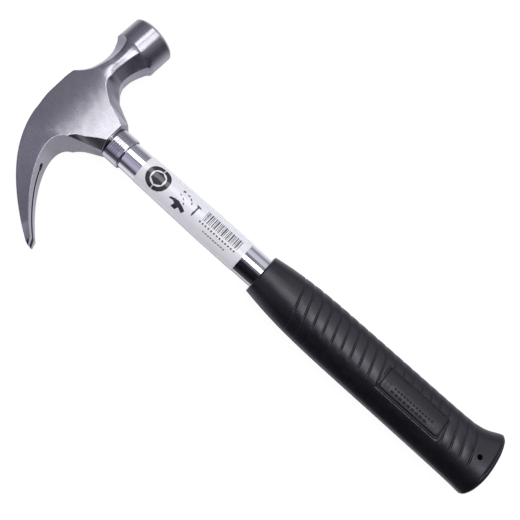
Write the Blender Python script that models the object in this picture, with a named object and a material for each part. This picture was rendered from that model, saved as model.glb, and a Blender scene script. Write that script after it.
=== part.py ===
"""A claw hammer: forged steel head on a chromed steel tube with a moulded rubber grip.

The hammer lies on its side. +X runs along the handle from the head to the butt, +Y points
to the striking face and +Z is up, through the cheeks. Everything is drawn in millimetres
about the point where the handle's axis leaves the eye of the head, and one empty scales it
to metres and sets it down, so that the middle of the footprint is the origin.
"""
import math

import bmesh
import bpy
from mathutils import Vector

MM = 0.001

# Driving dimensions, in millimetres.
CHEEK_HALF = 14.0                  # half the thickness of the head across the cheeks
EYE_MOUTH_X = 0.8                  # lower end of the eye boss
POLL_RADIUS = 14.0
POLL_BASE = Vector((-26.5, 45.7, 0.0))
POLL_TILT = math.radians(2.2)      # the poll leans this much towards the handle
POLL_LENGTH = 15.4                 # neck to rim
FACE_CHAMFER = 1.4
FACE_CROWN = 0.5
FACE_FLAT_RADIUS = 6.0

TUBE_RADIUS = 9.55
TUBE_NECK_RADIUS = 8.5
TUBE_WALL = 1.4
TUBE_TOP_X = -40.0
TUBE_TAPER_START_X = 10.0
TUBE_TAPER_END_X = 72.0
TUBE_END_X = 252.0
FIT_GAP = 0.3                      # room between pieces that touch

COLLAR_RADIUS = 9.75
COLLAR_LENGTH = 10.4

LABEL_START_X = 23.3
LABEL_END_X = 97.3
LABEL_GAP = 0.1
LABEL_THICKNESS = 0.2

GRIP_RIM_X = 274.0
BUTT_DOME = 4.6                    # how far the domed end stands past the rim
HOLE_X = 266.0
HOLE_Y = 2.2
HOLE_RADIUS = 1.6

ROUND_SIDES = 40
FACET_PARTS = 5                    # points along each of the eight sides of a head section
CLAW_STEPS = 12


def add_object(name, mesh_maker, material, parent):
    """Make a named object from a function that fills a bmesh, in millimetres."""
    mesh = bpy.data.meshes.new(name)
    bm = bmesh.new()
    mesh_maker(bm)
    bmesh.ops.recalc_face_normals(bm, faces=bm.faces)
    bm.to_mesh(mesh)
    bm.free()
    mesh.shade_smooth()
    mesh.set_sharp_from_angle(angle=math.radians(20))
    if material:
        mesh.materials.append(material)
    thing = bpy.data.objects.new(name, mesh)
    bpy.context.collection.objects.link(thing)
    thing.parent = parent
    return thing


def make_material(name, colour, metallic, roughness):
    material = bpy.data.materials.new(name)
    material.use_nodes = True
    shader = material.node_tree.nodes["Principled BSDF"]
    shader.inputs["Base Color"].default_value = (*colour, 1.0)
    shader.inputs["Metallic"].default_value = metallic
    shader.inputs["Roughness"].default_value = roughness
    return material


def cut(target, cutter):
    """Take the cutter's shape out of the target and keep the cutter as a hidden guide."""
    cutter.hide_render = True
    cutter.display_type = "WIRE"
    modifier = target.modifiers.new("cut_" + cutter.name, "BOOLEAN")
    modifier.operation = "DIFFERENCE"
    modifier.solver = "EXACT"
    modifier.object = cutter


def bridge(bm, first, second):
    count = len(first)
    for i in range(count):
        j = (i + 1) % count
        bm.faces.new((first[i], first[j], second[j], second[i]))


def loft(bm, rings, closed=False):
    """Skin rings of equal length, capped at both ends or joined into a closed loop."""
    loops = [[bm.verts.new(point) for point in ring] for ring in rings]
    for first, second in zip(loops, loops[1:]):
        bridge(bm, first, second)
    if closed:
        bridge(bm, loops[-1], loops[0])
    else:
        bm.faces.new(loops[0])
        bm.faces.new(loops[-1])


def circle_ring(x, radius, sides=ROUND_SIDES):
    turns = [2.0 * math.pi * i / sides for i in range(sides)]
    return [Vector((x, radius * math.cos(a), radius * math.sin(a))) for a in turns]


def turned(profile, sides=ROUND_SIDES):
    """A solid turned about X from (x, radius) pairs, capped at both ends."""
    return lambda bm: loft(bm, [circle_ring(x, r, sides) for x, r in profile])


def turned_shell(profile, sides=ROUND_SIDES):
    """A hollow piece turned about X, whose profile is a closed loop."""
    return lambda bm: loft(bm, [circle_ring(x, r, sides) for x, r in profile], closed=True)


def flat_points(*pairs):
    return [Vector((x, y, 0)) for x, y in pairs]


def bezier(points, t):
    a, b, c, d = points
    s = 1.0 - t
    return a * s**3 + b * 3 * s * s * t + c * 3 * s * t * t + d * t**3


# ---------------------------------------------------------------- head

# Sections across the head, from the neck to the back of the eye. Each one gives, in
# millimetres: the station along Y, the top edge's X, how far below it the cheek starts,
# the top facet's half width, the cheek's half thickness, the bottom edge's X, how far
# above it the cheek ends, and the bottom facet's half width.
NECK_AND_EYE = [
    (42.6, -37.0, 6.4, 5.0, 12.1, -15.6, 6.5, 5.0),
    (38.0, -35.3, 5.2, 4.8, 11.8, -17.4, 5.4, 4.8),
    (33.0, -34.7, 4.5, 5.2, 12.1, -18.6, 4.6, 4.6),
    (28.5, -34.6, 3.8, 6.5, 12.9, -18.8, 4.6, 4.8),
    (24.5, -34.9, 3.4, 8.2, 13.6, -17.4, 5.6, 5.2),
    (21.0, -35.6, 3.1, 9.6, 13.95, -14.6, 8.3, 5.5),
    (18.0, -36.6, 2.2, 11.2, CHEEK_HALF, -11.8, 9.1, 5.5),
    (15.0, -38.2, 1.2, 12.7, CHEEK_HALF, -6.2, 11.0, 5.5),
    (12.6, -39.9, 0.3, 13.7, CHEEK_HALF, -1.0, 12.6, 5.5),
    (11.6, -40.1, 0.3, 13.7, CHEEK_HALF, EYE_MOUTH_X, 12.6, 5.5),
    (8.4, -40.5, 0.3, 13.7, CHEEK_HALF, EYE_MOUTH_X, 3.6, 11.0),
    (6.7, -40.6, 0.3, 13.7, CHEEK_HALF, EYE_MOUTH_X, 0.3, 13.7),
    (-4.8, -40.6, 0.3, 13.7, CHEEK_HALF, EYE_MOUTH_X, 0.3, 13.7),
    (-7.0, -40.5, 0.3, 13.7, CHEEK_HALF, EYE_MOUTH_X, 3.9, 9.8),
    (-9.3, -40.2, 0.3, 13.7, CHEEK_HALF, EYE_MOUTH_X, 7.1, 5.5),
    (-11.8, -39.8, 0.3, 13.7, CHEEK_HALF, -4.7, 4.9, 6.5),
    (-13.8, -39.4, 0.3, 13.7, CHEEK_HALF, -9.5, 3.5, 8.6),
    (-16.0, -39.0, 0.3, 13.7, CHEEK_HALF, -13.4, 1.8, 11.6),
]

# The claw lies between two curves: its back, which the hammer rocks on, and its underside.
CLAW_BACK = flat_points((-40.0, 12.4), (-43.2, -26.8), (-31.6, -47.7), (7.6, -72.7))
CLAW_UNDER = flat_points((-15.5, -17.5), (-29.2, -24.0), (-13.4, -52.6), (7.2, -69.5))
CLAW_TIP = Vector((9.0, -73.7, 0))  # the underside is ground off to meet the back here
CLAW_BACK_START = 0.29             # where on the back curve the split claw's sections begin
CLAW_TIP_HALF = 9.5                # half the claw's width at the tips
CLAW_EDGE = 0.3                    # small flat along each long edge of the claw

# The nail slot, measured along the claw from 0 at the eye to 1 at the tips.
SLOT_ROOT = 0.38
SLOT_ROOT_HALF = 0.9
SLOT_TIP_HALF = 4.1
SLOT_FLARE = 0.8                   # the slot is this much wider each side on the underside
SLOT_OVERSHOOT = 3.0               # the cutter reaches this far past the claw's faces


def section_ring(top, bottom, top_drop, top_half, cheek_half, bottom_rise, bottom_half):
    """Eight corners of a section: flat top, two bevels, two cheeks, two bevels, flat bottom."""
    down = (bottom - top).normalized()
    up = Vector((0, 0, 1))
    upper = top + down * top_drop
    lower = bottom - down * bottom_rise
    half = [(top, top_half), (upper, cheek_half), (lower, cheek_half), (bottom, bottom_half)]
    near = [point + up * z for point, z in half]
    far = [point - up * z for point, z in reversed(half)]
    return near + far


def split_ring(ring, parts):
    """Add evenly spaced points along each side of a ring."""
    points = []
    for i, start in enumerate(ring):
        end = ring[(i + 1) % len(ring)]
        points += [start.lerp(end, k / parts) for k in range(parts)]
    return points


def poll_ring(along, radius, flare):
    """An octagon on the poll's axis, its corners at the flare radius, held inside a circle."""
    axis = Vector((math.sin(POLL_TILT), math.cos(POLL_TILT), 0))
    across = Vector((math.cos(POLL_TILT), -math.sin(POLL_TILT), 0))
    up = Vector((0, 0, 1))
    centre = POLL_BASE + axis * along
    corners = []
    for i in range(8):
        turn = math.radians(157.5 - 45.0 * i)
        corners.append(centre + (across * math.cos(turn) + up * math.sin(turn)) * flare)
    points = split_ring(corners, FACET_PARTS)
    return [centre + (p - centre) * min(1.0, radius / (p - centre).length) for p in points]


def claw_width(t):
    """Half width of the claw, easing from the cheeks to the tips."""
    ease = (0.5 * (1.0 + math.cos(math.pi * t))) ** 1.4
    return CLAW_TIP_HALF + (CHEEK_HALF - CLAW_TIP_HALF) * ease


def claw_edges(t):
    back = bezier(CLAW_BACK, CLAW_BACK_START + (1.0 - CLAW_BACK_START) * t)
    return back, bezier(CLAW_UNDER, t)


def head_rings():
    face = POLL_LENGTH + FACE_CHAMFER
    rings = [
        poll_ring(face + FACE_CROWN, FACE_FLAT_RADIUS, 2 * POLL_RADIUS),
        poll_ring(face, POLL_RADIUS - FACE_CHAMFER, 2 * POLL_RADIUS),
        poll_ring(POLL_LENGTH, POLL_RADIUS, 2 * POLL_RADIUS),
    ]
    for step in range(5, -1, -1):
        rings.append(poll_ring(0.55 * step, POLL_RADIUS, POLL_RADIUS + 0.28 * step))
    for y, top, drop, top_half, cheek, bottom, rise, bottom_half in NECK_AND_EYE:
        ring = section_ring(Vector((top, y, 0)), Vector((bottom, y, 0)),
                            drop, top_half, cheek, rise, bottom_half)
        rings.append(split_ring(ring, FACET_PARTS))
    for step in range(CLAW_STEPS + 1):
        t = step / CLAW_STEPS
        back, under = claw_edges(t)
        half = claw_width(t)
        edge = min(CLAW_EDGE, 0.3 * (under - back).length)
        ring = section_ring(back, under, edge, half - CLAW_EDGE, half, edge, half - CLAW_EDGE)
        rings.append(split_ring(ring, FACET_PARTS))
    chisel = Vector((0.25, 0.15, 0))
    tip = section_ring(CLAW_TIP - chisel, CLAW_TIP + chisel, 0.1, CLAW_TIP_HALF - CLAW_EDGE,
                       CLAW_TIP_HALF, 0.1, CLAW_TIP_HALF - CLAW_EDGE)
    rings.append(split_ring(tip, FACET_PARTS))
    return rings


def head_body(bm):
    loft(bm, head_rings())


def nail_slot(bm):
    """A wedge that opens from the slot's root to past the tips, wider on the underside."""
    up = Vector((0, 0, 1))
    rings = []
    for step in range(CLAW_STEPS + 1):
        share = step / (CLAW_STEPS - 1)
        back, under = claw_edges(SLOT_ROOT + (1.0 - SLOT_ROOT) * min(1.0, share))
        ahead, ahead_under = claw_edges(SLOT_ROOT + (1.0 - SLOT_ROOT) * min(1.0, share) - 0.02)
        along = (back + under - ahead - ahead_under).normalized()
        across = Vector((-along.y, along.x, 0))
        middle = (back + under) / 2 + along * (4.0 if step == CLAW_STEPS else 0.0)
        reach = (under - back).length / 2 + SLOT_OVERSHOOT
        half = SLOT_ROOT_HALF + (SLOT_TIP_HALF - SLOT_ROOT_HALF) * share
        wide = half + SLOT_FLARE
        outer = middle - across * reach
        inner = middle + across * reach
        rings.append([outer + up * half, inner + up * wide, inner - up * wide, outer - up * half])
    loft(bm, rings)


def make_head(steel, frame):
    head = add_object("hammer_head", head_body, steel, frame)
    eye_radius = TUBE_NECK_RADIUS + FIT_GAP
    cut(head, add_object("eye_bore_guide", turned([(-60, eye_radius), (20, eye_radius)]), None, frame))
    cut(head, add_object("nail_slot_guide", nail_slot, None, frame))
    return head


# ---------------------------------------------------------------- handle

def tube_radius(x):
    """Outside radius of the tube, which is swaged thinner towards the head."""
    share = (x - TUBE_TAPER_START_X) / (TUBE_TAPER_END_X - TUBE_TAPER_START_X)
    share = min(1.0, max(0.0, share))
    return TUBE_NECK_RADIUS + (TUBE_RADIUS - TUBE_NECK_RADIUS) * share


def make_tube(chrome, frame):
    stations = [TUBE_TOP_X, TUBE_TAPER_START_X, TUBE_TAPER_END_X, TUBE_END_X]
    outside = [(x, tube_radius(x)) for x in stations]
    bore = [(x, r - TUBE_WALL) for x, r in reversed(outside)]
    return add_object("handle_tube", turned_shell(outside + bore), chrome, frame)


def make_collar(chrome, frame):
    """The ribbed collar: three shallow grooves and a plain rounded lower end."""
    start = EYE_MOUTH_X + FIT_GAP
    groove = 0.35
    outside = [(start, COLLAR_RADIUS - 0.3), (start + 0.3, COLLAR_RADIUS)]
    for i in range(3):
        x = start + 1.8 + 2.3 * i
        outside += [(x, COLLAR_RADIUS), (x + 0.3, COLLAR_RADIUS - groove),
                    (x + 0.7, COLLAR_RADIUS - groove), (x + 1.0, COLLAR_RADIUS)]
    outside += [(start + COLLAR_LENGTH - 0.5, COLLAR_RADIUS),
                (start + COLLAR_LENGTH, COLLAR_RADIUS - 0.5)]
    bore = [(x, tube_radius(x) + FIT_GAP) for x in (start + COLLAR_LENGTH, start)]
    return add_object("neck_ferrule", turned_shell(outside + bore), chrome, frame)


def make_label(film, frame):
    stations = [LABEL_START_X, TUBE_TAPER_END_X, LABEL_END_X]
    inside = [(x, tube_radius(x) + LABEL_GAP) for x in stations]
    outside = [(x, r + LABEL_THICKNESS) for x, r in reversed(inside)]
    return add_object("label_sleeve", turned_shell(inside + outside), film, frame)


def make_eye_plug(wood, steel, frame):
    """The hardwood core in the eye, and the flat wedge driven into its top."""
    radius = TUBE_NECK_RADIUS - TUBE_WALL - FIT_GAP
    top = TUBE_TOP_X + 0.2
    plug = add_object("eye_plug", turned([(top, radius), (2.0, radius), (4.0, radius - 1.0)]), wood, frame)

    def wedge_shape(length, thick_top, thick_tip, half_width, start):
        def build(bm):
            rings = []
            for x, half in ((start, thick_top), (start + length, thick_tip)):
                rings.append([Vector((x, half, half_width)), Vector((x, -half, half_width)),
                              Vector((x, -half, -half_width)), Vector((x, half, -half_width))])
            loft(bm, rings)
        return build

    wedge = add_object("eye_wedge", wedge_shape(16.0, 1.4, 0.4, 5.0, top), steel, frame)
    slit = wedge_shape(17.4, 1.8, 0.7, 5.0 + FIT_GAP, top - 1.0)
    cut(plug, add_object("wedge_slit_guide", slit, None, frame))
    return plug, wedge


def make_end_plug(plastic, frame):
    """The plastic plug in the tube's lower end, with a flange as wide as the tube."""
    inner = TUBE_RADIUS - TUBE_WALL - FIT_GAP
    flange = TUBE_END_X + FIT_GAP
    profile = [(TUBE_END_X - 14.0, inner - 0.8), (TUBE_END_X - 12.0, inner),
               (flange, inner), (flange, TUBE_RADIUS), (flange + 2.0, TUBE_RADIUS)]
    return add_object("tube_end_plug", turned(profile), plastic, frame)


# ---------------------------------------------------------------- grip

# Sections of the grip, in millimetres: X, half width towards the claw, half width
# towards the face, and half thickness.
GRIP_SECTIONS = [
    (111.1, 12.2, 12.2, 11.6),
    (111.9, 12.8, 12.8, 12.2),
    (126.0, 14.6, 14.7, 12.9),
    (143.0, 16.0, 16.2, 13.5),
    (160.0, 16.6, 16.8, 13.8),
    (178.0, 16.8, 17.0, 13.9),
    (212.0, 16.9, 17.3, CHEEK_HALF),
    (244.0, 17.1, 17.6, CHEEK_HALF),
    (256.0, 17.2, 18.0, CHEEK_HALF),
    (262.0, 17.3, 18.9, CHEEK_HALF),
    (267.0, 17.4, 20.5, CHEEK_HALF),
    (271.0, 17.6, 22.5, CHEEK_HALF),
    (GRIP_RIM_X, 17.8, 23.9, CHEEK_HALF),
]
DOME_SHARES = [0.97, 0.88, 0.7, 0.45, 0.15]

PANEL_CENTRE_X = 219.5
PANEL_LENGTH = 43.0
PANEL_WIDTH = 13.4
PANEL_DEPTH = 0.6


def grip_ring(x, claw_side, face_side, thick):
    ring = []
    for point in circle_ring(x, 1.0):
        across = face_side if point.y > 0 else claw_side
        ring.append(Vector((x, point.y * across, point.z * thick)))
    return ring


def grip_body(bm):
    rings = [grip_ring(*section) for section in GRIP_SECTIONS]
    rim = GRIP_SECTIONS[-1]
    for share in DOME_SHARES:
        x = GRIP_RIM_X + BUTT_DOME * math.sqrt(1.0 - share * share)
        rings.append(grip_ring(x, rim[1] * share, rim[2] * share, rim[3] * share))
    loft(bm, rings)


def box_shape(low, high):
    def build(bm):
        rings = []
        for x in (low[0], high[0]):
            rings.append([Vector((x, low[1], low[2])), Vector((x, high[1], low[2])),
                          Vector((x, high[1], high[2])), Vector((x, low[1], high[2]))])
        loft(bm, rings)
    return build


def hole_shape(bm):
    rings = []
    for z in (-30, 30):
        rings.append([Vector((HOLE_X + p.y, HOLE_Y + p.z, z)) for p in circle_ring(0, HOLE_RADIUS, 16)])
    loft(bm, rings)


def make_grip(rubber, frame):
    grip = add_object("grip", grip_body, rubber, frame)
    bore = TUBE_RADIUS + FIT_GAP
    bore_end = TUBE_END_X + 2.0 + 2 * FIT_GAP
    cut(grip, add_object("grip_bore_guide", turned([(100, bore), (bore_end, bore)]), None, frame))
    cut(grip, add_object("grip_hole_guide", hole_shape, None, frame))
    floor = GRIP_SECTIONS[7][3] - PANEL_DEPTH
    low = (PANEL_CENTRE_X - PANEL_LENGTH / 2, -PANEL_WIDTH / 2, floor)
    high = (PANEL_CENTRE_X + PANEL_LENGTH / 2, PANEL_WIDTH / 2, floor + 10)
    cut(grip, add_object("grip_panel_guide", box_shape(low, high), None, frame))
    return grip


def set_down(frame):
    """Scale millimetres to metres, with the middle of the footprint on the origin."""
    points = []
    for thing in frame.children:
        if not thing.hide_render:
            points += [vertex.co for vertex in thing.data.vertices]
    low = Vector([min(p[i] for p in points) for i in range(3)])
    high = Vector([max(p[i] for p in points) for i in range(3)])
    footing = Vector(((low.x + high.x) / 2, (low.y + high.y) / 2, low.z))
    frame.location = -footing * MM
    frame.scale = (MM, MM, MM)


def main():
    for thing in list(bpy.data.objects):
        bpy.data.objects.remove(thing, do_unlink=True)

    frame = bpy.data.objects.new("hammer_frame", None)
    bpy.context.collection.objects.link(frame)

    steel = make_material("forged_steel", (0.46, 0.45, 0.50), 1.0, 0.34)
    chrome = make_material("chrome_plate", (0.78, 0.78, 0.84), 1.0, 0.08)
    film = make_material("printed_film", (0.80, 0.80, 0.84), 0.0, 0.35)
    wood = make_material("hardwood", (0.45, 0.30, 0.17), 0.0, 0.7)
    rubber = make_material("black_rubber", (0.02, 0.02, 0.025), 0.0, 0.5)
    plastic = make_material("black_plastic", (0.03, 0.03, 0.03), 0.0, 0.45)

    make_head(steel, frame)
    make_tube(chrome, frame)
    make_collar(chrome, frame)
    make_eye_plug(wood, steel, frame)
    make_label(film, frame)
    make_grip(rubber, frame)
    make_end_plug(plastic, frame)
    set_down(frame)


main()
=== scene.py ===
"""The looks of a claw hammer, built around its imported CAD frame.

The hammer lies on its side: +X runs along the handle to the butt, +Y points to the striking
face and +Z is up, through the cheeks. Shapes are drawn in millimetres about the point where
the handle's axis leaves the eye of the head, and new_mesh() turns them into metres.
"""

import math

import bmesh
import bpy
from mathutils import Matrix, Vector


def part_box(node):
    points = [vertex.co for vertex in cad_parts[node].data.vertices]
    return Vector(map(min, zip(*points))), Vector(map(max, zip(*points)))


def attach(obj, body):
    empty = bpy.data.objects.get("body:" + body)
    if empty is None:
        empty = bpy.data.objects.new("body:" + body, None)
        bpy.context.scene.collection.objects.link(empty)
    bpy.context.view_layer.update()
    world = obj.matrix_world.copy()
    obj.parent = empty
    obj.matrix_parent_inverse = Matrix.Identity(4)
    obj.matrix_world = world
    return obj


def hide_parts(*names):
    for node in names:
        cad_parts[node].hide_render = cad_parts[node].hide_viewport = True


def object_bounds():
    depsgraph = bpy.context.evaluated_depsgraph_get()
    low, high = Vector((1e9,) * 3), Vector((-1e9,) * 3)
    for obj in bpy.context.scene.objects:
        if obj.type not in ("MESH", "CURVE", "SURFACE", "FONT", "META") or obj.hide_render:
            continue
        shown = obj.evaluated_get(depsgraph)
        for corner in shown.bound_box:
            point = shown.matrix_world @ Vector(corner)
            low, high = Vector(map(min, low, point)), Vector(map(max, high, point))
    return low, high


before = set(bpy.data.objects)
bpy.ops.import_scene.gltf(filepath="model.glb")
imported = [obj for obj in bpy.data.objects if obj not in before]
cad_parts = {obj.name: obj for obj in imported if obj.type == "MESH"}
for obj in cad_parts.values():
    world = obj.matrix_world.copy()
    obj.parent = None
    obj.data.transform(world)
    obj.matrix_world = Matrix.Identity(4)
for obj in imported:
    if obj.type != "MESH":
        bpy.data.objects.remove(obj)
CAD_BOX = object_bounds()

MM = 0.001
UP = Vector((0, 0, 1))

# ---- driving dimensions, mm

TUBE_TOP_X = -40.0  # where the CAD tube starts, which fixes the origin
TUBE_LOW, TUBE_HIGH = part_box("handle_tube")
ORIGIN = (TUBE_LOW + TUBE_HIGH) / 2
ORIGIN.x = TUBE_LOW.x - TUBE_TOP_X * MM

CHEEK_HALF = 14.0
EYE_MOUTH_X = 0.8
POLL_RADIUS = 14.0
POLL_BASE = Vector((-26.5, 45.7, 0.0))
POLL_TILT = math.radians(2.2)
POLL_LENGTH = 15.4
FACE_CHAMFER = 1.4
FACE_CROWN = 0.5
# How far each of the neck's eight facets is scooped into the poll, from the upper bevel on.
SCALLOPS = [1.4, 0.5, 2.7, 1.5, 2.7, 0.5, 1.4, 1.5]
CORNER_RADIUS = 0.4  # the forging's edges are dressed to about this
BORE_RADIUS = 8.8

TUBE_RADIUS = 9.55
TUBE_NECK_RADIUS = 8.5
TUBE_WALL = 1.4
TAPER_START_X = 10.0
TAPER_END_X = 72.0
TUBE_END_X = 252.0
FIT_GAP = 0.3
ROUND_SIDES = 128

COLLAR_RADIUS = 9.75
COLLAR_LENGTH = 10.4
COLLAR_LIP = 0.7
RIB_COUNT = 5
RIB_PITCH = 1.35
RIB_DEPTH = 0.03

LABEL_START_X = 23.3
LABEL_END_X = 97.3
LABEL_GAP = 0.1
LABEL_THICKNESS = 0.2
LABEL_EDGE = 0.06
INK_HEIGHT = 0.04
BADGE_CENTRE = (34.3, -0.4)
BADGE_OUTER = 7.4
BADGE_INNER = 4.75
BADGE_HEXAGON = 4.15
BARS_START_X = 67.4
BARS_END_X = 93.0

GRIP_RIM_X = 274.0
BUTT_DOME = 4.4
BORE_END_X = 254.6
HOLE_X = 266.0
HOLE_Y = 2.2
HOLE_RADIUS = 1.6


# ---- small helpers

def smooth_step(low, high, value):
    share = min(1.0, max(0.0, (value - low) / (high - low)))
    return share * share * (3.0 - 2.0 * share)


def smooth_table(rows, straight=False):
    """A function that runs smoothly, or straight, through the rows: first column in, others out."""
    rows = sorted(rows)
    xs = [row[0] for row in rows]
    columns = list(zip(*[row[1:] for row in rows]))
    slopes = []
    for values in columns:
        steps = [(b - a) / (xb - xa) for a, b, xa, xb in zip(values, values[1:], xs, xs[1:])]
        inner = [0.0 if p * q <= 0 else 2.0 * p * q / (p + q) for p, q in zip(steps, steps[1:])]
        slopes.append([steps[0]] + inner + [steps[-1]])

    def at(x):
        x = min(xs[-1], max(xs[0], x))
        k = min(len(xs) - 2, max(0, sum(1 for station in xs[1:-1] if station <= x)))
        gap = xs[k + 1] - xs[k]
        t = (x - xs[k]) / gap
        found = []
        for values, slope in zip(columns, slopes):
            a, b = values[k], values[k + 1]
            p, q = slope[k] * gap, slope[k + 1] * gap
            if straight:
                p = q = b - a
            found.append(a + t * (p + t * (3 * (b - a) - 2 * p - q + t * (2 * (a - b) + p + q))))
        return found

    return at


def spread(start, end, step):
    """Evenly spaced stations from start to end, no further apart than step."""
    count = max(1, math.ceil(abs(end - start) / step))
    return [start + (end - start) * i / count for i in range(count + 1)]


def bridge(bm, first, second):
    count = len(first)
    for i in range(count):
        j = (i + 1) % count
        bm.faces.new((first[i], first[j], second[j], second[i]))


def loft(bm, rings, closed=False):
    """Skin rings of equal length, capped at both ends or joined into a closed loop."""
    loops = [[bm.verts.new(point) for point in ring] for ring in rings]
    for first, second in zip(loops, loops[1:]):
        bridge(bm, first, second)
    if closed:
        bridge(bm, loops[-1], loops[0])
    else:
        bm.faces.new(loops[0])
        bm.faces.new(loops[-1])


def circle_ring(x, radius, sides=ROUND_SIDES):
    turns = [2.0 * math.pi * i / sides for i in range(sides)]
    return [Vector((x, radius * math.cos(a), radius * math.sin(a))) for a in turns]


def turned(profile, closed=False):
    """Fills a mesh with a solid turned about the handle's axis, from its (x, radius) pairs."""
    return lambda bm: loft(bm, [circle_ring(x, radius) for x, radius in profile], closed)


def to_world(point):
    """From millimetres about the eye's mouth to metres in the CAD frame."""
    return ORIGIN + point * MM


def new_mesh(name, fill, sharp):
    """A mesh filled in millimetres, with edges sharper than the given angle left hard."""
    bm = bmesh.new()
    fill(bm)
    for vertex in bm.verts:
        vertex.co = to_world(vertex.co)
    bmesh.ops.recalc_face_normals(bm, faces=bm.faces)
    mesh = bpy.data.meshes.new(name)
    bm.to_mesh(mesh)
    bm.free()
    soften(mesh, sharp)
    return mesh


def soften(mesh, sharp):
    mesh.shade_smooth()
    mesh.set_sharp_from_angle(angle=math.radians(sharp))


def add_object(name, data):
    thing = bpy.data.objects.new(name, data)
    bpy.context.scene.collection.objects.link(thing)
    return thing


def cut_away(name, mesh, cutters, sharp):
    """The mesh with each cutter's shape taken out of it, one after another."""
    for fill in cutters:
        body = add_object(name + "_uncut", mesh)
        tool = add_object(name + "_cutter", new_mesh(name + "_cutter", fill, 180))
        modifier = body.modifiers.new("cut", "BOOLEAN")
        modifier.operation = "DIFFERENCE"
        modifier.solver = "MANIFOLD"
        modifier.object = tool
        bpy.context.view_layer.update()
        shown = body.evaluated_get(bpy.context.evaluated_depsgraph_get())
        mesh = bpy.data.meshes.new_from_object(shown)
        for thing in (body, tool):
            old = thing.data
            bpy.data.objects.remove(thing)
            bpy.data.meshes.remove(old)
    mesh.name = name
    soften(mesh, sharp)
    return mesh


def add_piece(name, mesh, material, slot, *replaced):
    piece = add_object(name, mesh)
    mesh.materials.clear()
    mesh.materials.append(material)
    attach(piece, "root")
    if replaced:
        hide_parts(*replaced)


def add_solid(name, fill, sharp, *finish):
    add_piece(name, new_mesh(name, fill, sharp), *finish)


# ---- node helpers

def set_inputs(inputs, **values):
    """Each input named with underscores for spaces, such as Coat_Weight=1.0."""
    for name, value in values.items():
        inputs[name.replace("_", " ")].default_value = value


class Nodes:
    """Short calls for building a node tree."""

    def __init__(self, tree):
        self.tree = tree

    def add(self, kind, **settings):
        node = self.tree.nodes.new("ShaderNode" + kind)
        for key, value in settings.items():
            setattr(node, key, value)
        return node

    def link(self, source, target):
        if isinstance(source, bpy.types.NodeSocket):
            self.tree.links.new(source, target)
        else:
            target.default_value = source

    def math(self, operation, *values):
        node = self.add("Math", operation=operation)
        for value, socket in zip(values, node.inputs):
            self.link(value, socket)
        return node.outputs[0]

    def product(self, *values):
        total = values[0]
        for value in values[1:]:
            total = self.math("MULTIPLY", total, value)
        return total

    def ramp(self, value, low, high, out_low=0.0, out_high=1.0, smooth=True):
        """The value's way from low to high, as a way from out_low to out_high, held beyond them."""
        kind = "SMOOTHSTEP" if smooth else "LINEAR"
        node = self.add("MapRange", interpolation_type=kind)
        for source, socket in zip((value, low, high, out_low, out_high), node.inputs):
            self.link(source, socket)
        return node.outputs[0]

    def stops(self, value, pairs):
        """A grey level for each value, running straight between the pairs given."""
        node = self.add("FloatCurve")
        low, high = pairs[0][0], pairs[-1][0]
        curve = node.mapping.curves[0]
        while len(curve.points) < len(pairs):
            curve.points.new(0.5, 0.5)
        for point, (at, level) in zip(curve.points, pairs):
            point.location = ((at - low) / (high - low), level)
            point.handle_type = "VECTOR"
        node.mapping.update()
        self.link(self.ramp(value, low, high, smooth=False), node.inputs["Value"])
        return node.outputs[0]

    def mix(self, share, first, second):
        node = self.add("Mix", data_type="RGBA")
        self.link(share, node.inputs[0])
        self.link(first, node.inputs[6])
        self.link(second, node.inputs[7])
        return node.outputs[2]

    def local(self, stretch=(1.0, 1.0, 1.0)):
        """The place on the hammer in millimetres from the eye's mouth, stretched to taste."""
        where = self.add("TexCoord").outputs["Object"]
        mapping = self.add("Mapping")
        self.link(where, mapping.inputs["Vector"])
        offset = [-o * s / MM for o, s in zip(ORIGIN, stretch)]
        set_inputs(mapping.inputs, Scale=[s / MM for s in stretch], Location=offset)
        return mapping.outputs[0]

    def noise(self, stretch, detail=3.0, rough=0.5):
        node = self.add("TexNoise")
        self.link(self.local(stretch), node.inputs["Vector"])
        set_inputs(node.inputs, Scale=1.0, Detail=detail, Roughness=rough)
        return node.outputs["Fac"]

    def dress(self, shader, colour, rough, normal):
        """Drive a shader's colour, roughness and normal."""
        for source, name in ((colour, "Base Color"), (rough, "Roughness"), (normal, "Normal")):
            self.link(source, shader[name])

    def bump(self, height, distance, under=None):
        node = self.add("Bump")
        set_inputs(node.inputs, Strength=1.0, Distance=distance * MM)
        self.link(height, node.inputs["Height"])
        if under is not None:
            self.link(under, node.inputs["Normal"])
        return node.outputs[0]


def new_material(name):
    material = bpy.data.materials.new(name)
    material.use_nodes = True
    return material, Nodes(material.node_tree), material.node_tree.nodes["Principled BSDF"].inputs


# ---- materials

def edge_wear(nodes, low, high):
    """1 along sharp outer edges, 0 elsewhere."""
    return nodes.ramp(nodes.add("NewGeometry").outputs["Pointiness"], low, high)


def slot_shade(nodes):
    """1 on the walls of the nail slot, which are painted dark there as shade."""
    place_at = nodes.add("SeparateXYZ")
    nodes.link(nodes.local(), place_at.inputs[0])
    facing = nodes.add("SeparateXYZ")
    nodes.link(nodes.add("NewGeometry").outputs["Normal"], facing.inputs[0])
    inside = nodes.ramp(nodes.math("ABSOLUTE", place_at.outputs[2]), 5.2, 4.4)
    claw = nodes.ramp(place_at.outputs[1], -30.0, -31.0)
    wall = nodes.ramp(nodes.math("ABSOLUTE", facing.outputs[2]), 0.20, 0.35)
    return nodes.product(inside, claw, wall)


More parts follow.
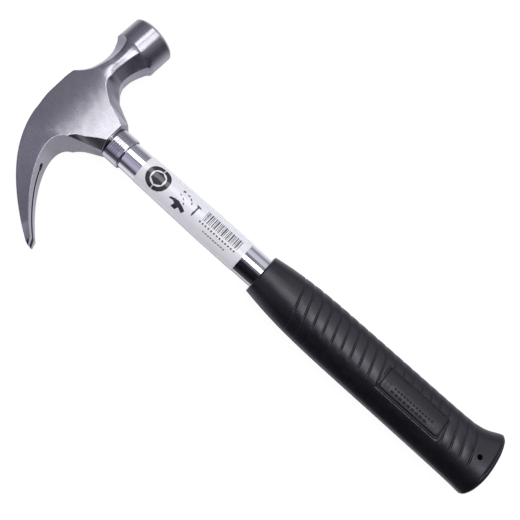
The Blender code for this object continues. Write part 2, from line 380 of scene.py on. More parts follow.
def forged_steel():
    """Drop-forged steel, linished across the head, with cloudy patches, rubbed edges and painted shade in
    the nail slot.
    """
    material, nodes, shader = new_material("forged_steel")
    strokes = nodes.noise((0.16, 7.0, 0.16), detail=5.0, rough=0.65)
    clouds = nodes.noise((0.07, 0.11, 0.07), detail=2.0)
    worn = edge_wear(nodes, 0.52, 0.60)
    plain = nodes.mix(clouds, (0.50, 0.49, 0.54, 1), (0.60, 0.59, 0.63, 1))
    streaked = nodes.mix(nodes.ramp(strokes, 0.35, 0.65), plain, (0.61, 0.60, 0.64, 1))
    bright = nodes.mix(worn, streaked, (0.68, 0.67, 0.71, 1))
    # Painted shade: scale here masks the nail slot's walls, which are darkened towards black and made
    # rougher.
    scale = slot_shade(nodes)
    colour = nodes.mix(scale, bright, (0.10, 0.10, 0.12, 1))
    set_inputs(shader, Metallic=1.0, Anisotropic=0.75, Anisotropic_Rotation=0.25)
    rough = nodes.ramp(strokes, 0.25, 0.75, 0.25, 0.33)
    rough = nodes.math("MAXIMUM", rough, nodes.math("MULTIPLY", scale, 0.5))
    tangent = nodes.add("Tangent", direction_type="RADIAL", axis="Y")
    nodes.link(tangent.outputs[0], shader["Tangent"])
    waves = nodes.bump(nodes.noise((0.10, 0.16, 0.10), detail=1.0), 0.10)
    nodes.dress(shader, colour, rough, nodes.bump(strokes, 0.006, under=waves))
    return material


def chrome_plate(name, dull, bright, rough):
    """Chrome over polished steel, with a faint haze and hairline rub marks."""
    material, nodes, shader = new_material(name)
    haze = nodes.noise((0.25, 0.25, 0.25), detail=3.0)
    rubs = nodes.noise((7.0, 0.5, 0.5), detail=2.0)
    set_inputs(shader, Metallic=1.0)
    nodes.dress(shader, nodes.mix(haze, (*dull, 1), (*bright, 1)),
                nodes.ramp(haze, 0.3, 0.7, rough, rough + 0.04), nodes.bump(rubs, 0.0008))
    return material


def mottled(name, size, detail, dark, light, rough, depth):
    """A surface whose colour, roughness and bumps all follow one noise."""
    material, nodes, shader = new_material(name)
    mottle = nodes.noise((size, size, size), detail=detail)
    nodes.dress(shader, nodes.mix(mottle, (*dark, 1), (*light, 1)),
                nodes.ramp(mottle, 0.3, 0.7, *rough), nodes.bump(mottle, depth))
    return material, shader


def printed_film():
    """White glossy film with the faint mottle of paper under it."""
    material, shader = mottled("printed_film", 1.3, 4.0, (0.90, 0.90, 0.94), (0.94, 0.94, 0.975),
                               (0.30, 0.38), 0.004)
    set_inputs(shader, Coat_Weight=1.0, Coat_Roughness=0.12)
    return material


def label_ink(name, dark, light):
    """Black or grey ink under the film's gloss, unevenly laid."""
    material, shader = mottled(name, 2.2, 3.0, dark, light, (0.32, 0.42), 0.004)
    set_inputs(shader, Coat_Weight=1.0, Coat_Roughness=0.10, Coat_IOR=1.65)
    return material


def black_plastic():
    return mottled("black_plastic", 1.5, 3.0, (0.02, 0.02, 0.02), (0.04, 0.04, 0.04), (0.40, 0.50), 0.02)[0]


def black_rubber(name, rough, gloss):
    """Moulded rubber: a fine pebble grain, uneven bloom, and polish where it is held."""
    material, nodes, shader = new_material(name)
    grain = nodes.noise((1.3, 1.3, 1.3), detail=4.0, rough=0.65)
    bloom = nodes.noise((0.16, 0.3, 0.3), detail=3.0)
    worn = edge_wear(nodes, 0.51, 0.60)
    plain = nodes.mix(bloom, (0.0055, 0.0055, 0.0075, 1), (0.0090, 0.0090, 0.0120, 1))
    set_inputs(shader, Specular_IOR_Level=gloss, Specular_Tint=(0.92, 0.92, 1.0, 1))
    nodes.dress(shader, nodes.mix(worn, plain, (0.020, 0.020, 0.026, 1)),
                nodes.ramp(bloom, 0.3, 0.7, rough, rough + 0.08), nodes.bump(grain, 0.035))
    return material


def hardwood():
    """End grain: growth rings across the handle's axis, with pores."""
    material, nodes, shader = new_material("hardwood")
    rings = nodes.add("TexWave", wave_type="RINGS", rings_direction="X")
    nodes.link(nodes.local((0.25, 0.9, 0.9)), rings.inputs["Vector"])
    set_inputs(rings.inputs, Scale=0.35, Distortion=2.5)
    pores = nodes.noise((1.0, 5.0, 5.0), detail=3.0)
    wood = nodes.mix(rings.outputs["Fac"], (0.32, 0.19, 0.09, 1), (0.52, 0.36, 0.20, 1))
    dark = nodes.ramp(pores, 0.60, 0.68)
    nodes.dress(shader, nodes.mix(dark, wood, (0.16, 0.09, 0.04, 1)),
                nodes.ramp(pores, 0.3, 0.7, 0.55, 0.75), nodes.bump(pores, 0.08))
    return material


# ---- head

# The eye's flat top has hardly any bevel, all the way along it.
EYE_TOP = (0.3, 13.7, CHEEK_HALF)
# Sections across the head, from the neck to the back of the eye: the station along Y, the
# top edge's X, how far below it the cheek starts, the top facet's half width, the cheek's
# half thickness, the bottom edge's X, how far above it the cheek ends, and the bottom
# facet's half width.
NECK_AND_EYE = [
    (42.6, -37.0, 6.4, 5.0, 12.1, -15.6, 6.5, 5.0),
    (38.0, -35.3, 5.2, 4.8, 11.8, -17.4, 5.4, 4.8),
    (33.0, -34.7, 4.5, 5.2, 12.1, -18.6, 4.6, 4.6),
    (28.5, -34.6, 3.8, 6.5, 12.9, -18.8, 4.6, 4.8),
    (24.5, -34.9, 3.4, 8.2, 13.6, -17.4, 5.6, 5.2),
    (21.0, -35.6, 3.1, 9.6, 13.95, -14.6, 8.3, 5.5),
    (18.0, -36.6, 2.2, 11.2, CHEEK_HALF, -11.8, 9.1, 5.5),
    (15.0, -38.2, 1.2, 12.7, CHEEK_HALF, -6.2, 11.0, 5.5),
    (12.6, -39.9, *EYE_TOP, -1.0, 12.6, 5.5),
    (11.6, -40.1, *EYE_TOP, EYE_MOUTH_X, 12.6, 5.5),
    (8.4, -40.5, *EYE_TOP, EYE_MOUTH_X, 3.6, 11.0),
    (6.7, -40.6, *EYE_TOP, EYE_MOUTH_X, 0.3, 13.7),
    (-4.8, -40.6, *EYE_TOP, EYE_MOUTH_X, 0.3, 13.7),
    (-7.0, -40.5, *EYE_TOP, EYE_MOUTH_X, 3.9, 9.8),
    (-9.3, -40.2, *EYE_TOP, EYE_MOUTH_X, 7.1, 5.5),
    (-11.8, -39.8, *EYE_TOP, -4.7, 4.9, 6.5),
    (-13.8, -39.4, *EYE_TOP, -9.5, 3.5, 8.6),
    (-16.0, -39.0, *EYE_TOP, -13.4, 1.8, 11.6),
]
EYE_FRONT_Y = 12.6  # from here to EYE_REAR_Y the eye is drawn with straight lines
EYE_REAR_Y = -9.3
NECK_SECTION = smooth_table([row for row in NECK_AND_EYE if row[0] >= EYE_FRONT_Y])
EYE_SECTION = smooth_table([row for row in NECK_AND_EYE if EYE_REAR_Y <= row[0] <= EYE_FRONT_Y], True)
REAR_SECTION = smooth_table([row for row in NECK_AND_EYE if row[0] <= EYE_REAR_Y])
NECK_END_Y = NECK_AND_EYE[0][0]
EYE_BACK_Y = NECK_AND_EYE[-1][0]
SECTION_STEP = 0.7

# The control points of the two curves that bound the claw.
CLAW_BACK = [Vector((x, y, 0)) for x, y in ((-40.0, 12.4), (-43.2, -26.8), (-31.8, -47.8), (7.0, -73.1))]
CLAW_UNDER = [Vector((x, y, 0)) for x, y in ((-15.5, -17.5), (-29.2, -24.0), (-13.4, -52.6), (7.2, -69.5))]
CLAW_TIP = Vector((9.0, -73.7, 0))
CLAW_BACK_START = 0.29
CLAW_TIP_HALF = 11.2
CLAW_BEVEL_START = 0.905  # from here to the tip each prong's outer side is bevelled:
CLAW_BEVEL_CUT = 1.8  # this much underneath, and
CLAW_BEVEL_LEAN = 1.3  # this much more at the back
CLAW_BEVEL_REACHED = 0.7  # the share of it cut before the chisel edge, which has all of it
CLAW_EDGE = 0.14
CLAW_STEPS = 84
CLAW_LEAN = 1.5  # how much thinner each side is at the back than underneath

SLOT_ROOT = 0.44
SLOT_ROOT_HALF = 0.8
SLOT_TIP_HALF = 2.7
SLOT_FLARE = 0.5
POCKET_AT = 0.468  # the dished hollow at the slot's root, and its half sizes
POCKET_ALONG = 2.3
POCKET_ACROSS = 3.1
SLOT_OVERSHOOT = 3.0
SLOT_STEPS = 40

# Where the points of a ring lie along each of its eight sides; the first is the corner.
SIDE_INNER = [0.12, 0.22, 0.33, 0.44, 0.56, 0.67, 0.78, 0.88]
SIDE_SHARES = [0.0, 0.03, 0.065] + SIDE_INNER + [0.935, 0.97]
CHEEK_SIDES = (1, 5)

# How far each cheek has fallen away at a given X: hardly at all near the handle, most at the top.
CHEEK_DROP = smooth_table([(-41.0, 1.9), (-36.0, 1.38), (-31.6, 0.93), (-27.8, 0.58), (-24.5, 0.36),
                           (-22.0, 0.25), (-15.0, 0.07), (-8.0, 0.0), (12.0, 0.0)])
NECK_CROWN = 0.8  # how far the neck's side facets bulge


def bezier(points, t):
    a, b, c, d = points
    s = 1.0 - t
    return a * s**3 + b * 3 * s * s * t + c * 3 * s * t * t + d * t**3


def section_ring(top, bottom, top_drop, top_half, cheek_half, bottom_rise, bottom_half):
    """Eight corners of a section: flat top, two bevels, two cheeks, two bevels, flat bottom."""
    down = (bottom - top).normalized()
    upper = top + down * top_drop
    lower = bottom - down * bottom_rise
    half = [(top, top_half), (upper, cheek_half), (lower, cheek_half), (bottom, bottom_half)]
    near = [point + UP * z for point, z in half]
    far = [point - UP * z for point, z in reversed(half)]
    return near + far


def rounded_ring(corners, crown=0.0):
    """A ring through eight corners, each dressed round, with its cheeks crowned."""
    sides = list(zip(corners, corners[1:] + corners[:1]))
    trims = [min(CORNER_RADIUS, 0.3 * (end - start).length) for start, end in sides]
    points = []
    for i, (start, end) in enumerate(sides):
        side = end - start
        ahead = side.normalized()
        before = (corners[i - 1] - start).normalized()
        near, far = start + ahead * trims[i], end - ahead * trims[i]
        points.append((start + before * trims[i - 1] + start * 2.0 + near) / 4.0)
        points += [near, start + ahead * trims[i] * 1.9]
        lowest = start + ahead * trims[i] * 2.4
        highest = end - ahead * trims[i] * 2.4
        for share in SIDE_INNER:
            points.append(lowest.lerp(highest, (share - SIDE_INNER[0]) / (SIDE_INNER[-1] - SIDE_INNER[0])))
        points += [end - ahead * trims[i] * 1.9, far]
        if i in CHEEK_SIDES and crown:
            for k in range(1 - len(SIDE_SHARES), 0):
                share = (points[k] - start).length / side.length
                lift = crown * 4.0 * share * (1.0 - share)
                points[k] = points[k] + UP * math.copysign(lift, start.z)
    return points


def lean_cheeks(point):
    """Let the cheeks fall away towards the top of the head, but not on the neck."""
    drop = CHEEK_DROP(point.x)[0] * (1.0 - smooth_step(16.0, 30.0, point.y))
    return Vector((point.x, point.y, point.z * (1.0 - drop / CHEEK_HALF)))


def neck_ring(y):
    """The section of the neck or the eye at a station along Y."""
    table = NECK_SECTION if y > EYE_FRONT_Y else EYE_SECTION if y >= EYE_REAR_Y else REAR_SECTION
    top, drop, top_half, cheek, bottom, rise, bottom_half = table(y)
    corners = section_ring(Vector((top, y, 0)), Vector((bottom, y, 0)),
                           drop, top_half, cheek, rise, bottom_half)
    crown = NECK_CROWN * smooth_step(20.0, 31.0, y)
    return [lean_cheeks(point) for point in rounded_ring(corners, crown)]


def poll_point(along, radius, turn):
    """A point on the poll, which is tilted a little to the handle."""
    axis = Vector((math.sin(POLL_TILT), math.cos(POLL_TILT), 0))
    across = Vector((math.cos(POLL_TILT), -math.sin(POLL_TILT), 0))
    return POLL_BASE + axis * along + (across * math.cos(turn) + UP * math.sin(turn)) * radius


def poll_columns():
    """The angle of each point round the poll, and how far its facet is scooped there."""
    columns = []
    for side, scallop in enumerate(SCALLOPS):
        for share in SIDE_SHARES:
            turn = math.radians(157.5 - 45.0 * (side + share))
            columns.append((turn, scallop * 4.0 * share * (1.0 - share)))
    return columns


def poll_rings():
    """From the crown of the striking face back to the crease where the neck begins."""
    columns = poll_columns()
    face = POLL_LENGTH + FACE_CHAMFER
    flat = POLL_RADIUS - FACE_CHAMFER
    crown = (0.5, 2.0, 4.0, 6.0, 8.0, 10.0, 11.5, 12.2)
    profile = [(face + FACE_CROWN * (1.0 - (radius / flat) ** 2), radius) for radius in crown]
    profile += [(face - 0.03, flat - 0.08), (face - 0.14, flat + 0.10), (face - 0.3, flat + 0.27)]
    rim = ((0.3, 0.32), (0.1, 0.14), (-0.1, 0.03), (-0.35, 0.0))
    profile += [(POLL_LENGTH + along, POLL_RADIUS - inset) for along, inset in rim]
    rings = [[poll_point(along, radius, turn) for turn, _ in columns] for along, radius in profile]
    for share in (0.93, 0.8, 0.65, 0.5, 0.35, 0.2, 0.1, 0.05):
        stations = [(turn, scoop + (POLL_LENGTH - 0.35 - scoop) * share) for turn, scoop in columns]
        rings.append([poll_point(along, POLL_RADIUS, turn) for turn, along in stations])
    for along, inset in ((0.30, 0.0), (0.10, 0.06)):
        rings.append([poll_point(scoop + along, POLL_RADIUS - inset, turn) for turn, scoop in columns])
    return rings


def flare_rings():
    """The neck opening out to meet the poll, following on smoothly from the neck."""
    base, inner = neck_ring(NECK_END_Y), neck_ring(NECK_END_Y - 0.5)
    crease = [poll_point(scoop - 0.05, POLL_RADIUS - 0.22, turn) for turn, scoop in poll_columns()]
    rings = []
    for share in (1.0, 0.97, 0.9, 0.8, 0.68, 0.55, 0.42, 0.28, 0.14):
        ring = []
        for start, before, end in zip(base, inner, crease):
            slope = (start - before) / 0.5 * (end.y - start.y)
            ring.append(start + slope * share + (end - start - slope) * share * share)
        rings.append(ring)
    return rings


def claw_width(t):
    """Half the claw's width underneath, from its root at 0 to its tip at 1."""
    ease = (0.5 * (1.0 + math.cos(math.pi * t))) ** 1.4
    return CLAW_TIP_HALF + (CHEEK_HALF - CLAW_TIP_HALF) * ease - CLAW_BEVEL_CUT * claw_bevel(t)


def claw_bevel(t):
    """How much of the bevel has been cut: none up to its start, then steadily more."""
    return CLAW_BEVEL_REACHED * max(0.0, t - CLAW_BEVEL_START) / (1.0 - CLAW_BEVEL_START)


def claw_edges(t):
    """Points on the claw's back and underside, from its root at 0 to its tip at 1."""
    back = bezier(CLAW_BACK, CLAW_BACK_START + (1.0 - CLAW_BACK_START) * t)
    return back, bezier(CLAW_UNDER, t)


def claw_along(t):
    """The direction in which the claw runs there, towards its tip."""
    back, under = claw_edges(t)
    last_back, last_under = claw_edges(t - 0.02)
    return (back + under - last_back - last_under).normalized()


def claw_ring(back, under, half, edge, leaning, lean):
    """A section of the claw, whose sides come to lean in towards its back as leaning nears 1."""
    ring = section_ring(back, under, edge, half - CLAW_EDGE, half, edge, half - CLAW_EDGE)
    across = (under - back).normalized() / (under - back).length
    points = []
    for point in rounded_ring(ring):
        share = min(1.0, max(0.0, (point - back).dot(across)))
        leant = Vector((point.x, point.y, point.z * (1.0 - lean * (1.0 - share) / half)))
        points.append(lean_cheeks(point).lerp(leant, leaning))
    return points


def head_body(bm):
    rings = poll_rings() + flare_rings()
    stations = spread(NECK_END_Y, EYE_BACK_Y, SECTION_STEP) + [row[0] for row in NECK_AND_EYE]
    rings += [neck_ring(y) for y in sorted({round(y, 3) for y in stations}, reverse=True)]
    for step in range(CLAW_STEPS + 1):
        t = step / CLAW_STEPS
        back, under = claw_edges(t)
        edge = min(CLAW_EDGE, 0.3 * (under - back).length)
        lean = CLAW_LEAN + CLAW_BEVEL_LEAN * claw_bevel(t)
        rings.append(claw_ring(back, under, claw_width(t), edge, smooth_step(0.0, 0.22, t), lean))
    chisel = Vector((0.25, 0.15, 0))
    half = CLAW_TIP_HALF - CLAW_BEVEL_CUT - CLAW_LEAN - CLAW_BEVEL_LEAN
    rings.append(claw_ring(CLAW_TIP - chisel, CLAW_TIP + chisel, half, 0.1, 1.0, 0.3))
    loft(bm, rings)


def nail_slot(bm):
    """A wedge that opens from the slot's root to past the tips, wider on the underside."""
    rings = []
    for step in range(SLOT_STEPS + 1):
        share = step / (SLOT_STEPS - 1)
        t = SLOT_ROOT + (1.0 - SLOT_ROOT) * min(1.0, share)
        back, under = claw_edges(t)
        along = claw_along(t)
        across = Vector((-along.y, along.x, 0))
        middle = (back + under) / 2 + along * (4.0 if step == SLOT_STEPS else 0.0)
        reach = (under - back).length / 2 + SLOT_OVERSHOOT
        half = SLOT_ROOT_HALF + (SLOT_TIP_HALF - SLOT_ROOT_HALF) * share
        wide = half + SLOT_FLARE
        outer = middle - across * reach
        inner = middle + across * reach
        rings.append([outer + UP * half, inner + UP * wide, inner - UP * wide, outer - UP * half])
    loft(bm, rings)


def root_pocket(bm):
    """An oval hollow that narrows from the underside of the claw to its back."""
    under = claw_edges(POCKET_AT)[1]
    along = claw_along(POCKET_AT)
    inward = Vector((along.y, -along.x, 0))
    rings = []
    for depth, scale in ((-3.0, 1.1), (0.0, 1.0), (5.0, 0.75), (12.0, 0.3)):
        middle = under + inward * depth
        rings.append([middle + along * (p.y * POCKET_ALONG) + UP * (p.z * POCKET_ACROSS)
                      for p in circle_ring(0, scale, 48)])
    loft(bm, rings)


def make_head(steel):
    bore = turned([(-60, BORE_RADIUS), (20, BORE_RADIUS)])
    cutters = [nail_slot, root_pocket, bore]
    mesh = cut_away("steel_head", new_mesh("steel_head", head_body, 40), cutters, 33)
    add_piece("steel_head", mesh, steel, "forged_steel", "hammer_head")


# ---- tube, collar and label

def tube_radius(x):
    """Outside radius of the tube, which is swaged thinner towards the head."""
    share = (x - TAPER_START_X) / (TAPER_END_X - TAPER_START_X)
    share = min(1.0, max(0.0, share))
    return TUBE_NECK_RADIUS + (TUBE_RADIUS - TUBE_NECK_RADIUS) * share


def make_tube(chrome):
    stations = [TUBE_TOP_X + 0.4] + spread(TAPER_START_X, TAPER_END_X, 4.0) + [TUBE_END_X]
    outside = [(TUBE_TOP_X, tube_radius(TUBE_TOP_X) - 0.4), (TUBE_TOP_X + 0.12, tube_radius(0) - 0.12)]
    outside += [(x, tube_radius(x)) for x in stations]
    bore = [(x, tube_radius(x) - TUBE_WALL) for x in reversed(stations)]
    bore += [(TUBE_TOP_X, tube_radius(TUBE_TOP_X) - TUBE_WALL + 0.4)]
    shell = turned(outside + bore, closed=True)
    add_solid("chrome_tube", shell, 33, chrome, "chrome_plate", "handle_tube")


def make_collar(chrome):
    """The collar under the head: fine rolled ribs, then a plain band with a rounded lip."""
    start = EYE_MOUTH_X + FIT_GAP
    end = start + COLLAR_LENGTH
    outside = [(start, COLLAR_RADIUS - 0.3), (start + 0.08, COLLAR_RADIUS - 0.1)]
    outside.append((start + 0.3, COLLAR_RADIUS))
    first = start + 0.9
    for x in spread(first, first + RIB_COUNT * RIB_PITCH, 0.12):
        wave = 0.5 - 0.5 * math.cos(2.0 * math.pi * (x - first) / RIB_PITCH)
        outside.append((x, COLLAR_RADIUS - RIB_DEPTH * wave ** 3))
    outside.append((end - 2.0 * COLLAR_LIP, COLLAR_RADIUS))
    for turn in spread(0, 90, 12):
        angle = math.radians(turn)
        x = end - COLLAR_LIP + COLLAR_LIP * math.sin(angle)
        outside.append((x, COLLAR_RADIUS - COLLAR_LIP + COLLAR_LIP * math.cos(angle)))
    bore = [(x, tube_radius(x) + FIT_GAP) for x in (end, start)]
    shell = turned(outside + bore, closed=True)
    add_solid("chrome_collar", shell, 33, chrome, "chrome_plate", "neck_ferrule")


def label_radius(x):
    return tube_radius(x) + LABEL_GAP + LABEL_THICKNESS


def make_label(film):
    stations = spread(LABEL_START_X, LABEL_END_X, 3.0)
    inside = [(x, tube_radius(x) + LABEL_GAP) for x in stations]
    outer_stations = [LABEL_START_X + LABEL_EDGE] + stations[1:-1] + [LABEL_END_X - LABEL_EDGE]
    outside = [(LABEL_END_X, label_radius(LABEL_END_X) - LABEL_EDGE)]
    outside += [(x, label_radius(x)) for x in reversed(outer_stations)]
    outside += [(LABEL_START_X, label_radius(LABEL_START_X) - LABEL_EDGE)]
    shell = turned(inside + outside, closed=True)
    add_solid("label_film", shell, 33, film, "printed_film", "label_sleeve")


def flat_solid(outline):
    """A thin solid over a flat outline, cut into strips so that it can bend round the tube."""
    part = bmesh.new()
    part.faces.new([part.verts.new((x, s, 0)) for x, s in outline])
    bmesh.ops.triangulate(part, faces=part.faces)
    around = [s for _, s in outline]
    for s in spread(min(around), max(around), 0.8)[1:-1]:
        geometry = list(part.verts) + list(part.edges) + list(part.faces)
        bmesh.ops.bisect_plane(part, geom=geometry, plane_co=(0, s, 0), plane_no=(0, 1, 0))
    grown = bmesh.ops.extrude_face_region(part, geom=list(part.faces))
    for item in grown["geom"]:
        if isinstance(item, bmesh.types.BMVert):
            item.co.z = INK_HEIGHT
    sheet = bpy.data.meshes.new("print_part")
    part.to_mesh(sheet)
    part.free()
    return sheet


def settle_order(parts, place):
    """Sort by place, as cutting leaves an order that changes from run to run."""
    ranked = sorted(parts, key=lambda part: place(part).to_tuple())
    rank = {part: i for i, part in enumerate(ranked)}
    parts.sort(key=lambda part: rank[part])


def wrap_print(shapes):
    """Fills a mesh with outlines given as (x, distance round the tube) pairs, laid on the label."""
    def build(bm):
        for outline in shapes:
            sheet = flat_solid(outline)
            bm.from_mesh(sheet)
            bpy.data.meshes.remove(sheet)
        for vertex in bm.verts:
            x, s, height = vertex.co
            angle = s / label_radius(x)
            radius = label_radius(x) + height
            vertex.co = Vector((x, radius * math.sin(angle), radius * math.cos(angle)))
        settle_order(bm.verts, lambda vertex: vertex.co)
        settle_order(bm.faces, lambda face: face.calc_center_median())
    return build


def arc_points(centre, radius, start, end, count):
    """Points on an arc between two angles in degrees."""
    points = []
    for i in range(count):
        turn = math.radians(start + (end - start) * i / (count - 1))
        points.append((centre[0] + radius * math.cos(turn), centre[1] + radius * math.sin(turn)))
    return points


def band(centre, inner, outer, start, end, count=24):
    """Part of a ring between two radii and two angles."""
    return arc_points(centre, outer, start, end, count) + arc_points(centre, inner, end, start, count)


def block(x, s, length, width):
    """An oblong with its low corner at (x, s)."""
    return [(x, s), (x + length, s), (x + length, s + width), (x, s + width)]


def emblem_shapes():
    """A plain round badge: a dark ring round a dark hexagon, each in two halves."""
    ring = [band(BADGE_CENTRE, BADGE_INNER, BADGE_OUTER, start, start + 176) for start in (92, 272)]
    hexagon = [arc_points(BADGE_CENTRE, BADGE_HEXAGON, start, start + 180, 4) for start in (30, 210)]
    return ring + hexagon


def pictogram_shapes():
    """A small hammer swinging at a nail, with a dashed path for each."""
    head = [(45.2, -4.4), (46.2, -3.2), (48.4, -2.5), (51.0, -2.2), (53.2, -2.9), (55.0, -3.5),
            (57.1, -4.7), (56.0, -6.9), (54.0, -5.8), (52.9, -5.4), (51.9, -7.7), (49.0, -7.5),
            (49.8, -5.0), (48.2, -4.1), (46.8, -4.3)]
    nail = [(60.2, 3.3), (63.2, 3.0), (63.1, 2.3), (62.0, 2.2), (61.8, -2.6), (61.3, -4.4),
            (60.7, -2.6), (61.0, 2.3), (60.1, 2.5)]
    shapes = [head, nail]
    for start in (88, 62, 36, 10):
        shapes.append(band((48.6, -4.8), 5.8, 6.3, start, start - 14, 6))
    for start in (112, 84, 62, 42):
        shapes.append(band((51.8, -2.6), 6.4, 7.1 if start < 100 else 7.5, start, start - 13, 6))
    return shapes


def bar_shapes():
    """A block of plain upright bars with two rows of ticks under it, which says nothing."""
    shapes = []
    x = BARS_START_X
    step = 0
    while x < BARS_END_X:
        width = (0.34, 0.62, 0.28, 0.9, 0.4)[step % 5]
        shapes.append(block(x, -1.4, width, 6.3))
        x += width + (0.5, 0.34, 0.72)[step % 3]
        step += 1
    shapes += [block(66.6 + 2.06 * i, -3.5, 0.9, 1.0) for i in range(13)]
    shapes += [block(71.4 + 1.84 * i, -6.5, 1.25, 0.55) for i in range(9)]
    return shapes


def make_print(black, grey):
    pictures = wrap_print(emblem_shapes() + pictogram_shapes())
    add_solid("label_print", pictures, 20, black, "printed_film")
    add_solid("label_marks", wrap_print(bar_shapes()), 20, grey, "printed_film")


# ---- grip

# X, half width towards the claw, half width towards the face, and half thickness.
GRIP_SECTIONS = [
    (111.1, 12.5, 12.5, 11.9), (126.0, 14.6, 14.7, 12.9), (143.0, 16.0, 16.2, 13.5),
    (160.0, 16.6, 16.8, 13.8), (178.0, 16.8, 17.0, 13.85), (212.0, 16.9, 17.3, 13.9),
    (244.0, 17.1, 17.6, 13.9), (256.0, 17.2, 18.0, 13.9), (262.0, 17.3, 18.9, 13.9),
    (267.0, 17.4, 20.5, 13.9), (271.0, 17.6, 22.5, 13.95), (GRIP_RIM_X, 17.8, 23.9, 14.0),
]
GRIP_SHAPE = smooth_table(GRIP_SECTIONS)
GRIP_TOP_X = GRIP_SECTIONS[0][0]
GRIP_SIDES = 144

GROOVE_FIRST_X = 136.0
GROOVE_LAST_X = 262.0
GROOVE_COUNT = 20
GROOVE_PITCH = (GROOVE_LAST_X - GROOVE_FIRST_X) / (GROOVE_COUNT - 1)
GROOVE_SLANT = 0.287  # each groove's X falls by this for every mm of Y
GROOVE_DEPTH = 0.50
GROOVE_HALF = 0.75
GROOVE_FADE = 0.9  # how much of the grooves is lost on the side towards the claw
# The groove round the grip just before its rim: how far along from the rim, and how deep.
RIM_GROOVE = [(-1.3, 0.0), (-1.0, 0.08), (-0.8, 0.38), (-0.55, 0.5), (-0.3, 0.38), (-0.1, 0.08), (0.15, 0.0)]
BAND_SAG = 0.10  # bands stand this much prouder in their middles
# Where mesh rings fall between one groove and the next, in mm from the groove.
BAND_STATIONS = [-0.75, -0.5, -0.25, 0.0, 0.25, 0.5, 0.75, 1.1, 1.7, 2.5, 3.3, 4.1, 4.9, 5.5]

PANEL_CENTRE = (219.5, 0.3)
PANEL_HALF = (22.4, 7.6)
PANEL_CORNER = 2.8
PANEL_SINK = 0.75  # the rubber under the panel's plate lies this far down


def groove_depth(u):
    """How far the surface lies below the bands at a distance u along the grip."""
    if u < GROOVE_FIRST_X - GROOVE_PITCH / 2 or u > GROOVE_LAST_X + GROOVE_PITCH / 2:
        return 0.0
    k = min(GROOVE_COUNT - 1, max(0, round((u - GROOVE_FIRST_X) / GROOVE_PITCH)))
    away = abs(u - GROOVE_FIRST_X - k * GROOVE_PITCH)
    groove = GROOVE_DEPTH * (1.0 - smooth_step(0.15, GROOVE_HALF, away))
    outside = (k == 0 and u < GROOVE_FIRST_X) or (k == GROOVE_COUNT - 1 and u > GROOVE_LAST_X)
    sag = 0.0 if outside else BAND_SAG * (1.0 - smooth_step(0.0, GROOVE_PITCH / 2, away))
    return max(groove, sag)


def panel_cover(x, y, z):
    """1 under the panel's plate, easing to 0 at its outline."""
    if z < 0:
        return 0.0
    beyond = max(abs(x - PANEL_CENTRE[0]) - PANEL_HALF[0], abs(y - PANEL_CENTRE[1]) - PANEL_HALF[1])
    return 1.0 - smooth_step(-1.0, -0.1, beyond)


def grip_lean(u):
    """1 where the grooves slant, 0 at the grip's square-cut ends."""
    return smooth_step(114.0, 128.0, u) * (1.0 - smooth_step(264.5, 272.0, u))


def grip_halves(x, y):
    """At X, the grip's half width on the side that Y is on, and its half thickness."""
    claw_half, face_half, thick = GRIP_SHAPE(x)
    return (face_half if y > 0 else claw_half), thick


def grip_point(u, turn, depth, scale=1.0):
    """The point at an angle round the slanting section u, sunk by depth."""
    y_unit, z_unit = math.cos(turn), math.sin(turn)
    x = u
    for _ in range(4):
        x = u - GROOVE_SLANT * grip_lean(u) * y_unit * grip_halves(x, y_unit)[0]
    half, thick = grip_halves(x, y_unit)
    point = Vector((x, y_unit * half * scale, z_unit * thick * scale))
    depth *= 1.0 - GROOVE_FADE * smooth_step(-3.0, -8.0, point.y)
    cover = panel_cover(*point)
    depth = depth * (1.0 - cover) + PANEL_SINK * cover
    inward = Vector((0, y_unit / half, z_unit / thick)).normalized()
    return point - inward * depth


def grip_ring(u, depth=0.0, scale=1.0):
    turns = [2.0 * math.pi * i / GRIP_SIDES for i in range(GRIP_SIDES)]
    return [grip_point(u, turn, depth, scale) for turn in turns]


def grip_stations():
    stations = spread(GRIP_TOP_X + 1.2, GROOVE_FIRST_X - 1.2, 1.6)
    for k in range(GROOVE_COUNT):
        middle = GROOVE_FIRST_X + k * GROOVE_PITCH
        stations += [middle + offset for offset in BAND_STATIONS]
    stations = [u for u in stations if u < GROOVE_LAST_X + 1.2]
    stations += spread(GROOVE_LAST_X + 1.9, GRIP_RIM_X - 1.7, 0.8)
    return stations


def grip_body(bm):
    bore = TUBE_RADIUS + FIT_GAP
    rings = [circle_ring(x, bore, GRIP_SIDES) for x in (BORE_END_X, 180.0, GRIP_TOP_X + 0.5)]
    rings.append(circle_ring(GRIP_TOP_X + 0.12, bore + 0.12, GRIP_SIDES))
    rings.append(circle_ring(GRIP_TOP_X, bore + 0.4, GRIP_SIDES))
    for turned_by in (0, 18, 36, 54, 72, 90):
        angle = math.radians(turned_by)
        rings.append(grip_ring(GRIP_TOP_X + 1.0 - math.cos(angle), 1.0 - math.sin(angle)))
    rings += [grip_ring(u, groove_depth(u)) for u in grip_stations()]
    rings += [grip_ring(GRIP_RIM_X + offset, depth) for offset, depth in RIM_GROOVE]
    for turned_by in (14, 26, 37, 47, 56, 64, 71, 77, 82, 86.5):
        angle = math.radians(turned_by)
        u = GRIP_RIM_X + RIM_GROOVE[-1][0] + BUTT_DOME * math.sin(angle)
        rings.append(grip_ring(u, scale=math.cos(angle)))
    loft(bm, rings)


def hole_shape(bm):
    circle = circle_ring(0, HOLE_RADIUS, 40)
    loft(bm, [[Vector((HOLE_X + p.y, HOLE_Y + p.z, z)) for p in circle] for z in (-30, 30)])


def make_grip(rubber):
    mesh = cut_away("rubber_grip", new_mesh("rubber_grip", grip_body, 60), [hole_shape], 50)
    add_piece("rubber_grip", mesh, rubber, "black_rubber", "grip")


